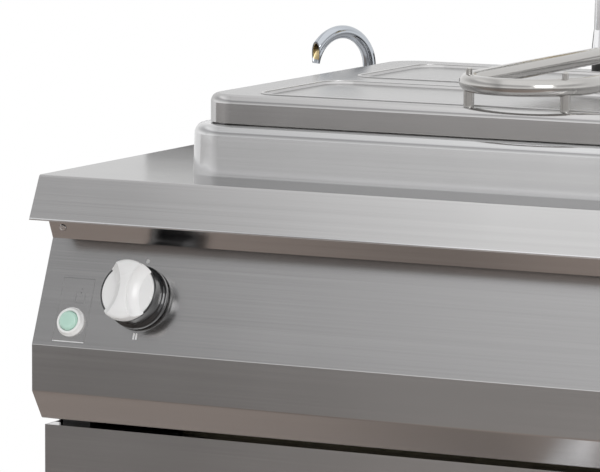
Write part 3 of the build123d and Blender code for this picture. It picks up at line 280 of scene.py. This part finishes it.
NODE_FINISH = {
    "facing": ["control_panel", "front_panel"],
    "top": ["worktop"],
    "collar": ["well_surround"],
    "satin_x": ["back_panel", "base_tray", "lid_liner", "inner_vessel", "hinge_bracket", "tap_lever"],
    "satin_z": ["side_panel_left", "side_panel_right"],
    "satin_y": ["legs", "drain_strainer"],
    "chrome": ["water_spout"],
    "tube": ["lid_handle", "handle_posts"],
    "lid": ["lid_shell"],
    "polished": ["hinge_shaft", "spout_base", "drain_rosette", "tap_body",
                 "tap_ball", "riser", "riser_union", "gauge_case", "hinge_bushes"],
    "jacket": ["steam_jacket", "drain_pipe", "element_covers", "lid_spring"],
    "frame": ["frame"],
    "wool": ["insulation"],
    "heater": ["heating_element_left", "heating_element_right"],
    "silicone": ["lid_gasket"],
    "black": ["selector_knob", "easing_cap"],
    "black_matt": ["lever_grip", "riser_sleeve", "feet", "selector_switch", "button_switch",
                   "terminal_box", "cable_gland", "gauge_needle"],
    "white": ["knob_cap"],
    "dial": ["gauge_dial"],
    "clear": ["button_bezel"],
    "green": ["button_lens"],
    "glass": ["gauge_glass"],
    "brass": ["valve_block", "safety_valve", "vacuum_breaker", "fill_valve", "spout_nut"],
    "nickel": ["water_inlet", "selector_spindle"],
    "copper": ["water_pipe"],
}


def dress_nodes():
    """Give every carried-over node its finish."""
    for finish, names in NODE_FINISH.items():
        for name in names:
            node = NODES[name]
            node.data.materials.clear()
            node.data.materials.append(FINISH[finish])


# ---- modelling tools ---------------------------------------------------------------------
def clear_hands():
    """Object mode, nothing selected."""
    if bpy.context.mode != "OBJECT":
        OPS.object.mode_set(mode="OBJECT")
    OPS.object.select_all(action="DESELECT")


def edit():
    """Go into edit mode on the piece in hand."""
    OPS.object.mode_set(mode="EDIT")


def leave_edit():
    """Turn every normal outward and go back to object mode."""
    OPS.mesh.select_all(action="SELECT")
    OPS.mesh.normals_make_consistent(inside=False)
    OPS.object.mode_set(mode="OBJECT")


def choose(kind, test):
    """Select only the edges or faces that pass a test."""
    OPS.mesh.select_mode(type=kind)
    OPS.mesh.select_all(action="DESELECT")
    mesh = bmesh.from_edit_mesh(bpy.context.object.data)
    for item in {"EDGE": mesh.edges, "FACE": mesh.faces}[kind]:
        item.select_set(test(item))
    mesh.select_flush_mode()
    bmesh.update_edit_mesh(bpy.context.object.data)


def pull(offset):
    """Extrude the selection by an offset."""
    OPS.mesh.extrude_region_move(TRANSFORM_OT_translate={"value": offset})


def scale_to(factors, centre=(0, 0, 0)):
    """Scale the selection about a point."""
    OPS.transform.resize(value=factors, center_override=centre)


def modifier(kind, **settings):
    """Add a modifier to the piece in hand and apply it."""
    OPS.object.modifier_add(type=kind)
    made = bpy.context.object.modifiers[-1]
    for key, value in settings.items():
        setattr(made, key, value)
    OPS.object.modifier_apply(modifier=made.name)


def soften(width):
    """Round every edge sharper than 40 degrees."""
    modifier("BEVEL", width=width, segments=3, limit_method="ANGLE", angle_limit=radians(40))


def cut_with(cutter, piece):
    """Cut a piece with another one, which is used up."""
    clear_hands()
    bpy.context.view_layer.objects.active = piece
    piece.select_set(True)
    modifier("BOOLEAN", object=cutter, operation="DIFFERENCE", solver="EXACT")
    bpy.data.objects.remove(cutter, do_unlink=True)


def join(*pieces):
    """Make one piece of several."""
    clear_hands()
    for piece in pieces:
        piece.select_set(True)
    bpy.context.view_layer.objects.active = pieces[0]
    OPS.object.join()


def block(size, centre):
    """A box, left in edit mode."""
    clear_hands()
    OPS.mesh.primitive_cube_add(size=1, location=centre)
    edit()
    scale_to(size, centre)


def turned(outline, vertices=96, closed=True):
    """A round piece about Z, drawn up ring by ring: outline is (radius, height) pairs in millimetres."""
    clear_hands()
    rings = [(radius * MM, height * MM) for radius, height in outline]
    radius, height = rings[0]
    OPS.mesh.primitive_circle_add(vertices=vertices, radius=radius, location=(0, 0, 0))
    edit()
    OPS.transform.translate(value=(0, 0, height))
    if closed:
        OPS.mesh.edge_face_add()
        choose("EDGE", lambda edge: True)
    for next_radius, next_height in rings[1:]:
        OPS.mesh.extrude_edges_move(TRANSFORM_OT_translate={"value": (0, 0, next_height - height)})
        scale_to((next_radius / radius, next_radius / radius, 1), (0, 0, next_height))
        radius, height = next_radius, next_height
    if closed:
        OPS.mesh.edge_face_add()
    leave_edit()
    return bpy.context.object


def stand(piece, foot, up, out):
    """Stand a piece that was made about Z on a leaning face, given the face's up and outward directions."""
    turn = Matrix((Vector((1, 0, 0)), up, out)).transposed()
    piece.matrix_world = Matrix.Translation(foot) @ turn.to_4x4()


def place_on_slope(piece, foot, lift=0.0):
    """Stand a piece on the control face."""
    stand(piece, foot + SLOPE_OUT * lift, SLOPE_UP, SLOPE_OUT)


def finish_piece(piece, name, finish, body="root", replaced=(), smooth=35):
    """Set a piece's place in its mesh, smooth it, name it, paint it and let it ride on its body."""
    clear_hands()
    piece.select_set(True)
    bpy.context.view_layer.objects.active = piece
    OPS.object.transform_apply(location=True, rotation=True, scale=True)
    OPS.object.shade_smooth_by_angle(angle=radians(smooth))
    piece.name = piece.data.name = name
    piece.data.materials.clear()
    piece.data.materials.append(FINISH[finish])
    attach(piece, body)
    if replaced:
        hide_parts(*replaced)


# ---- selector knob -----------------------------------------------------------------------
def knob_body():
    """Glossy black body: skirt, a waist that flares into it, and a rim round the white face."""
    outline = [
        (25.5, 0.8), (30.0, 0.8), (30.6, 1.4), (30.6, 6.0), (30.3, 7.1), (29.6, 7.9),
        (28.6, 8.4), (27.9, 9.2), (27.7, 11.0), (28.2, 20.0), (29.0, 24.0), (29.1, 24.8),
        (28.8, 25.4), (28.0, 25.6), (27.5, 25.4), (27.45, 22.5),
    ]
    body = turned(outline)
    place_on_slope(body, KNOB_FOOT)
    finish_piece(body, "knob_body", "black", "knob", ["selector_knob"], 50)


def knob_grip():
    """White face with a waisted grip across it: a low drum scooped out on both sides."""
    crest = 35.8
    scoop_out, scoop_radius, scoop_flatness = 44.0, 40.4, 0.42      # the flattened ball that hollows a side
    face = turned([(27.3, 22.6), (27.3, 25.3), (26.6, 26.0), (25.0, 26.1)])
    grip = turned([
        (28.9, 25.6), (29.2, 26.0), (29.2, 31.5), (28.4, 34.6), (26.9, crest - 0.2), (24.0, crest),
    ])
    for side in (-1, 1):
        clear_hands()
        hollow = (side * scoop_out * MM, 0, (crest + 1) * MM)
        OPS.mesh.primitive_uv_sphere_add(
            segments=96, ring_count=64, radius=scoop_radius * MM, location=hollow)
        edit()
        scale_to((1, 1, scoop_flatness), hollow)
        OPS.object.mode_set(mode="OBJECT")
        cut_with(bpy.context.object, grip)
    soften(0.7 * MM)
    join(face, grip)
    place_on_slope(face, KNOB_FOOT)
    finish_piece(face, "knob_grip", "white", "knob", ["knob_cap"], 40)


def knob_mark():
    """White tick on the skirt, below the grip."""
    block((2.2 * MM, 0.5 * MM, 2.6 * MM), (0, -30.3 * MM, 3.4 * MM))
    OPS.mesh.bevel(offset=0.15 * MM, segments=2, affect="EDGES")
    OPS.object.mode_set(mode="OBJECT")
    tick = bpy.context.object
    place_on_slope(tick, KNOB_FOOT)
    finish_piece(tick, "knob_tick", "white", "knob")


def knob():
    """The heat selector."""
    knob_body()
    knob_grip()
    knob_mark()


# ---- fill button and the marks printed on the control face -------------------------------
PRINT_THICKNESS, PRINT_LIFT = 0.12 * MM, 0.005 * MM


def button_ring():
    """Frosted ring of the fill button: foot flange, cone and a rounded mouth."""
    outline = [
        (11.0, -11.5), (11.0, 0.0), (14.0, 0.0), (14.3, 0.3), (14.3, 1.4), (13.9, 2.0), (13.2, 2.6),
        (12.7, 4.6), (12.2, 5.6), (11.4, 6.0), (10.4, 5.9), (9.75, 5.4), (9.6, 4.8), (9.6, -11.5),
    ]
    ring = turned(outline, 72, closed=False)
    edit()
    choose("EDGE", lambda edge: edge.is_boundary)
    OPS.mesh.bridge_edge_loops()
    leave_edit()
    place_on_slope(ring, BUTTON_FOOT)
    finish_piece(ring, "button_ring", "frosted", "root", ["button_bezel"], 50)


def button_dome():
    """Pale green push lens with a soft crown."""
    outline = [
        (9.2, -8.5), (9.2, 5.6), (9.0, 6.8), (8.3, 7.7), (7.0, 8.2), (5.0, 8.42), (2.5, 8.5), (0.6, 8.5),
    ]
    dome = turned(outline, 72)
    place_on_slope(dome, BUTTON_FOOT)
    finish_piece(dome, "button_dome", "green", "button", ["button_lens"], 60)


def printed(name, parts, finish, foot):
    """Flat marks on the control face: rounded strips, each (x, y, width, height, turn in degrees)."""
    made = []
    for x, y, width, height, turn in parts:
        clear_hands()
        OPS.mesh.primitive_plane_add(size=1, location=(0, 0, 0))
        edit()
        scale_to((width * MM, height * MM, 1))
        OPS.mesh.bevel(offset=0.45 * min(width, height) * MM, segments=3, affect="VERTICES")
        pull((0, 0, PRINT_THICKNESS))
        leave_edit()
        strip = bpy.context.object
        strip.rotation_euler.z = radians(turn)
        strip.location = (x * MM, y * MM, 0)
        OPS.object.transform_apply(location=True, rotation=True, scale=True)
        made.append(strip)
    join(*made)
    place_on_slope(made[0], foot, PRINT_LIFT)
    finish_piece(made[0], name, finish, "root", (), 30)


def panel_marks():
    """Off mark and full mark round the knob, and the faint framed fill symbol over the button."""
    off = [(1.0, -36.9, 1.7, 6.4, 0), (3.7, -36.9, 1.7, 6.4, 0)]
    printed("knob_marks", off + [(1.0, 36.4, 3.6, 3.6, 0)], "white", KNOB_FOOT)
    left, right, low, high = -16.5, 17.5, -19.0, 43.0       # sides of the frame, mm from the button
    across, up, wide, tall = (left + right) / 2, (low + high) / 2, right - left, high - low
    frame_lines = [(across, high, wide, 0.7, 0), (right, up, 0.45, tall, 0), (left, up, 0.3, tall, 0)]
    printed("button_frame", frame_lines, "etched", BUTTON_FOOT)
    printed("button_frame_foot", [(across, low, wide, 0.8, 0)], "etched_light", BUTTON_FOOT)
    jug = [(5.0, 19.0, 10.0, 0.5, 0), (0.0, 24.0, 0.5, 10.0, 0), (10.0, 24.0, 0.5, 10.0, 0)]
    drops = [(5.0, 33.0, 0.8, 2.2, 0), (5.0, 29.0, 0.8, 2.2, 0)]
    printed("fill_symbol", jug + drops, "etched", BUTTON_FOOT)


def controls():
    """Everything on the control face."""
    knob()
    button_ring()
    button_dome()
    panel_marks()


# ---- small fittings ----------------------------------------------------------------------
SCREW_INSET = 14 * MM                       # from the worktop's ends
SCREW_BACK, SCREW_DOWN = 19.9 * MM, 51.8 * MM       # from the worktop's front edge
LINING_RADIUS, LINING_WALL = 5.5 * MM, 0.6 * MM
LINING_SWEEP, LINING_SET_BACK = radians(72), 0.6 * MM       # from the arch's crown to past the cut
PRESS_FRONT, PRESS_REAR, PRESS_SIDE = 27 * MM, 42 * MM, 49 * MM     # pressed panels, from the lid's sides
PRESS_GAP = 50 * MM                         # between the two panels
BEAD_OVERHANG, BEAD_CORNER = 9 * MM, 26 * MM        # its outline is this much larger than the panel
BEAD_WIDTH, BEAD_HEIGHT, BEAD_SUNK = 3.4 * MM, 1.1 * MM, 0.3 * MM
HEM_DEPTH, HEM_HEIGHT = 2.4 * MM, 2.2 * MM
HEM_BACK, HEM_UP = 1.1 * MM, 1.0 * MM       # its middle, from the apron's face and foot


def strip_screws():
    """Screws with a tapered cross recess, near both ends of the strip under the apron."""
    lean = atan2(STRIP_RUN, STRIP_DROP)
    out = Vector((0, -cos(lean), -sin(lean)))
    up = Vector((0, -sin(lean), cos(lean)))
    for side, name in ((-1, "left"), (1, "right")):
        head = turned([(3.4, 0.0), (3.6, 0.3), (3.3, 0.9), (2.2, 1.35), (0.8, 1.5)], 48)
        for quarter in (0, 90):
            block((3.6 * MM, 0.7 * MM, 1.4 * MM), (0, 0, 1.5 * MM))
            choose("FACE", lambda face: face.normal.z < -0.5)
            scale_to((0.4, 0.6, 1), (0, 0, 0.8 * MM))
            OPS.object.mode_set(mode="OBJECT")
            bpy.context.object.rotation_euler.z = radians(quarter)
            cut_with(bpy.context.object, head)
        spot = Vector((side * (TOP_HI.x - SCREW_INSET), EDGE.y + SCREW_BACK, EDGE.z - SCREW_DOWN))
        stand(head, spot, up, out)
        finish_piece(head, f"strip_screw_{name}", "polished", "root", (), 40)


def spout_lining():
    """Bare brass bore that shows in the spout's cut end."""
    ahead = Vector((-sin(SPOUT_TURN), -cos(SPOUT_TURN), 0))
    centre = SPOUT_ROOT + ahead * SPOUT_BEND + Vector((0, 0, SPOUT_ARCH_Z))
    across = ahead.cross(Vector((0, 0, 1)))
    crown = centre + Vector((0, 0, SPOUT_BEND))
    clear_hands()
    OPS.mesh.primitive_circle_add(
        vertices=40, radius=LINING_RADIUS, location=crown, rotation=(pi / 2, 0, -SPOUT_TURN))
    lining = bpy.context.object
    OPS.object.transform_apply(location=True, rotation=True, scale=True)
    edit()
    OPS.mesh.select_all(action="SELECT")
    OPS.mesh.spin(steps=24, angle=LINING_SWEEP, center=centre, axis=across)
    OPS.mesh.select_all(action="SELECT")
    mouth = centre + ahead * (SPOUT_BEND * cos(SPOUT_CUT) - LINING_SET_BACK)
    OPS.mesh.bisect(plane_co=mouth, plane_no=ahead, clear_outer=True)
    leave_edit()
    modifier("SOLIDIFY", thickness=LINING_WALL, offset=-1)
    finish_piece(lining, "spout_lining", "brass", "spout", (), 60)


def press_beads():
    """Low bead round each of the lid's two pressed panels."""
    front, rear = LID_LO.y + PRESS_FRONT, LID_HI.y - PRESS_REAR
    run = (rear - front - PRESS_GAP) / 2
    half_x = LID_HI.x - PRESS_SIDE
    beads = []
    for low_y in (front, front + run + PRESS_GAP):
        clear_hands()
        where = Vector((0, low_y + run / 2, LID_HI.z - BEAD_SUNK))
        OPS.mesh.primitive_plane_add(size=1, location=where)
        OPS.object.transform_apply(location=True, rotation=True, scale=True)
        edit()
        scale_to((2 * half_x + BEAD_OVERHANG, run + BEAD_OVERHANG, 1), where)
        OPS.mesh.bevel(offset=BEAD_CORNER, segments=12, affect="VERTICES")
        OPS.mesh.inset(thickness=BEAD_WIDTH)
        choose("FACE", lambda face: len(face.verts) > 8)
        OPS.mesh.delete(type="FACE")
        OPS.mesh.select_all(action="SELECT")
        pull((0, 0, BEAD_HEIGHT))
        leave_edit()
        soften(0.45 * MM)
        beads.append(bpy.context.object)
    join(*beads)
    finish_piece(beads[0], "press_beads", "satin_x", "lid", (), 50)


def apron_hem():
    """Turned hem along the apron's foot: a slim rounded lip."""
    foot = Vector((0, TOP_LO.y + HEM_BACK, TOP_LO.z + HEM_UP))
    block((TOP_HI.x - TOP_LO.x, HEM_DEPTH, HEM_HEIGHT), foot)
    OPS.mesh.bevel(offset=0.8 * MM, segments=4, affect="EDGES")
    OPS.object.mode_set(mode="OBJECT")
    finish_piece(bpy.context.object, "apron_hem", "polished", "root", (), 50)


def small_fittings():
    """Screws, spout lining, lid beads and apron hem."""
    strip_screws()
    spout_lining()
    press_beads()
    apron_hem()


# ---- studio ------------------------------------------------------------------------------
SCREEN_RADIUS, EYE_LEVEL, SCREEN_GLOW = 14.0, 0.8, 1.2
SCREEN_TONES = (               # height of the direction, from -1 to 1, and its colour
    (-1.0, (0.30, 0.26, 0.23)),
    (-0.10, (0.26, 0.24, 0.23)),
    (-0.05, (0.92, 0.92, 0.92)),
    (0.10, (1.0, 1.0, 1.0)),
    (0.30, (0.60, 0.60, 0.60)),
    (0.50, (0.48, 0.48, 0.485)),
    (0.64, (1.0, 1.0, 1.0)),
    (1.0, (1.0, 1.0, 1.0)),
)
SCREEN_END, SCREEN_PALE = 0.6, 0.15   # where behind the kettle it ends, and starts to turn white
DARK_SIDE, DARK_TONE = -0.50, 0.52    # dim stretch of the screen, to the left
DARK_RIGHT, DARK_LEFT = 0.09, 0.24    # how far it fades out on either side
MAT_RADIUS, MAT_LIFT = SCREEN_RADIUS - 1, 0.002
MAT_END, MAT_FULL = 0.1, -0.5         # y where the mat starts, and where it has faded in
FLOOR_RADIUS, ROOM_GREY = 30, 0.60
FLOOR_TONED, FLOOR_WHITE = 0.9, 2.6   # the floor turns white between these distances
CARD_PLACE, CARD_SIZE = (-0.42, 0.62, 0.87), (0.84, 0.15)
LAMPS = (                      # name, place, aim, sides, watts, and whether metal mirrors it
    ("key", (2.2, -2.6, 2.4), (-0.1, -0.2, 0.8), (1.6, 1.6), 38, True),
    ("top", (0.2, 0.5, 3.2), (0, 0, 0.8), (2.2, 2.2), 23, False),
)
LENS, SENSOR = 271.86, 36.0
CAMERA_YAW, CAMERA_PITCH, CAMERA_ROLL = radians(27.02), radians(7.238), radians(0.274)
CAMERA_FROM_EDGE = Vector((2.15339, -3.67993, 0.48318))


def lamps():
    """Soft boxes, each looking at a point."""
    for name, place, aim, sides, watts, mirrored in LAMPS:
        data = bpy.data.lights.new(name, "AREA")
        data.shape, data.size, data.size_y = "RECTANGLE", *sides
        data.energy = watts
        lamp = bpy.data.objects.new(name, data)
        bpy.context.scene.collection.objects.link(lamp)
        lamp.location = place
        lamp.rotation_euler = (Vector(aim) - Vector(place)).to_track_quat("-Z", "Y").to_euler()
        lamp.visible_glossy = mirrored


def seen_white(tree):
    """Output that is 1 on camera, glossy and transmission rays, and 0 on all others."""
    path = tree.nodes.new("ShaderNodeLightPath")
    seen = path.outputs["Is Camera Ray"]
    for ray in ("Is Glossy Ray", "Is Transmission Ray"):
        either = tree.nodes.new("ShaderNodeMath")
        either.operation = "MAXIMUM"
        tree.links.new(seen, either.inputs[0])
        tree.links.new(path.outputs[ray], either.inputs[1])
        seen = either.outputs[0]
    return seen


def side_tone(paint, across):
    """Dimming of what stands in front, by how far to the side it is."""
    off = across - DARK_SIDE
    right = paint.span(off, 0.0, DARK_RIGHT, DARK_TONE, 1.0)
    return right.most(paint.span(off, 0.0, -DARK_LEFT, DARK_TONE, 1.0))


def studio_world():
    """White background, which metal and glass mirror too; a grey room's light on everything else."""
    world = bpy.data.worlds.new("studio")
    bpy.context.scene.world = world
    world.use_nodes = True
    tree = world.node_tree
    mix = tree.nodes.new("ShaderNodeMix")
    mix.data_type = "RGBA"
    mix.inputs[6].default_value = (ROOM_GREY, ROOM_GREY, ROOM_GREY, 1)
    mix.inputs[7].default_value = (1, 1, 1, 1)
    tree.links.new(seen_white(tree), mix.inputs["Factor"])
    tree.links.new(mix.outputs[2], tree.nodes["Background"].inputs["Color"])


def floor():
    """Pale floor that keeps the kettle's shadow and turns white a little way off."""
    OPS.mesh.primitive_circle_add(vertices=96, radius=FLOOR_RADIUS, fill_type="NGON", location=(0, 0, 0))
    disc = bpy.context.object
    disc.name = "floor"
    paint = Paint("floor_paint", Roughness=0.6, Base_Color=(0.80, 0.78, 0.76, 1))
    seen = Socket(paint, seen_white(paint.tree))
    away = paint.node("ShaderNodeVectorMath", {"operation": "LENGTH"}, [paint.place], "Value")
    white = paint.tree.nodes.new("ShaderNodeEmission")
    blend = paint.tree.nodes.new("ShaderNodeMixShader")
    paint.put(blend.inputs[0], paint.span(away, FLOOR_TONED, FLOOR_WHITE) * seen)
    paint.tree.links.new(paint.shader.outputs[0], blend.inputs[1])
    paint.tree.links.new(white.outputs[0], blend.inputs[2])
    paint.tree.links.new(blend.outputs[0], paint.tree.nodes["Material Output"].inputs[0])
    disc.data.materials.append(paint.material)


def stand_in_mirrors(prop, name, material):
    """Keep a studio prop for reflections only."""
    prop.name = name
    prop.data.materials.append(material)
    prop.visible_camera = prop.visible_diffuse = prop.visible_shadow = prop.visible_transmission = False


def front_screen():
    """Curved screen in front of the kettle, whose tones the front faces mirror."""
    OPS.mesh.primitive_uv_sphere_add(segments=96, ring_count=48, radius=SCREEN_RADIUS)
    screen = bpy.context.object
    edit()
    OPS.mesh.select_all(action="SELECT")
    OPS.mesh.bisect(plane_co=(0, SCREEN_END * SCREEN_RADIUS, 0), plane_no=(0, 1, 0), clear_outer=True)
    OPS.mesh.select_all(action="SELECT")
    OPS.transform.translate(value=(0, 0, EYE_LEVEL))
    OPS.mesh.bisect(plane_co=(0, 0, -0.01), plane_no=(0, 0, -1), clear_outer=True)
    OPS.object.mode_set(mode="OBJECT")
    paint = Paint("screen_paint", Roughness=1.0, Specular_IOR_Level=0.0, Base_Color=(0, 0, 0, 1),
                  Emission_Strength=SCREEN_GLOW)
    x, y, z = paint.axes()
    height = (z - EYE_LEVEL) / SCREEN_RADIUS
    stops = [((place + 1) / 2, tone) for place, tone in SCREEN_TONES]
    tones = paint.node("ShaderNodeValToRGB", {"stops": stops}, [(height + 1.0) / 2.0])
    dimmed = paint.mix(side_tone(paint, x / SCREEN_RADIUS), (0.0, 0.0, 0.0), tones)
    rear = paint.span(y / SCREEN_RADIUS, SCREEN_PALE, SCREEN_END)
    paint.set(Emission_Color=paint.mix(rear, dimmed, (1 / SCREEN_GLOW,) * 3))
    stand_in_mirrors(screen, "front_screen", paint.material)


def front_mat():
    """Mat on the floor in front, which the downward faces mirror; its colour is painted shade, dark and
    warm for the pale floor in shade there, and darker still in a stretch to the left.
    """
    OPS.mesh.primitive_circle_add(
        vertices=96, radius=MAT_RADIUS, fill_type="NGON", location=(0, 0, MAT_LIFT))
    mat = bpy.context.object
    OPS.object.transform_apply(location=True, rotation=False, scale=False)
    edit()
    OPS.mesh.select_all(action="SELECT")
    OPS.mesh.bisect(plane_co=(0, MAT_END, 0), plane_no=(0, 1, 0), clear_outer=True)
    OPS.object.mode_set(mode="OBJECT")
    paint = Paint("mat_paint", Roughness=0.6)
    x, y, _ = paint.axes()
    away = paint.node("ShaderNodeVectorMath", {"operation": "LENGTH"}, [paint.place], "Value")
    # Painted shade: the colour of the floor in shade in front, made darker still where side_tone dims it.
    warm = paint.mix(paint.span(away, 1.2, 4.0), (0.37, 0.30, 0.26), (0.34, 0.31, 0.29))
    paint.set(Base_Color=paint.mix(side_tone(paint, x / away), (0.0, 0.0, 0.0), warm))
    paint.set(Alpha=paint.span(y, MAT_END, MAT_FULL))
    stand_in_mirrors(mat, "front_mat", paint.material)


def low_card():
    """Dark card behind the kettle, level with the worktop, which mirrors it."""
    OPS.mesh.primitive_plane_add(size=1, location=CARD_PLACE, rotation=(pi / 2, 0, 0))
    card = bpy.context.object
    card.scale = (*CARD_SIZE, 1)
    paint = Paint("card_paint", Roughness=0.8, Base_Color=(0.05, 0.05, 0.05, 1))
    stand_in_mirrors(card, "low_card", paint.material)


def camera():
    """Long lens from the front right, a little above the worktop."""
    data = bpy.data.cameras.new("camera")
    data.sensor_width, data.lens = SENSOR, LENS
    data.clip_end = 100.0
    eye = bpy.data.objects.new("camera", data)
    bpy.context.scene.collection.objects.link(eye)
    yaw, pitch, roll = CAMERA_YAW, CAMERA_PITCH, CAMERA_ROLL
    ahead = Vector((-sin(yaw) * cos(pitch), cos(yaw) * cos(pitch), -sin(pitch)))
    level = Vector((cos(yaw), sin(yaw), 0))
    above = level.cross(ahead)
    right = level * cos(roll) + above * sin(roll)
    up = above * cos(roll) - level * sin(roll)
    turn = Matrix((right, up, -ahead)).transposed()
    eye.matrix_world = Matrix.Translation(EDGE + CAMERA_FROM_EDGE) @ turn.to_4x4()
    bpy.context.scene.camera = eye


def studio():
    """Room, floor, what the metal mirrors, lamps and camera."""
    studio_world()
    floor()
    front_screen()
    front_mat()
    low_card()
    lamps()
    camera()
    bpy.context.scene.view_settings.view_transform = "Standard"


dress_nodes()
controls()
small_fittings()
studio()
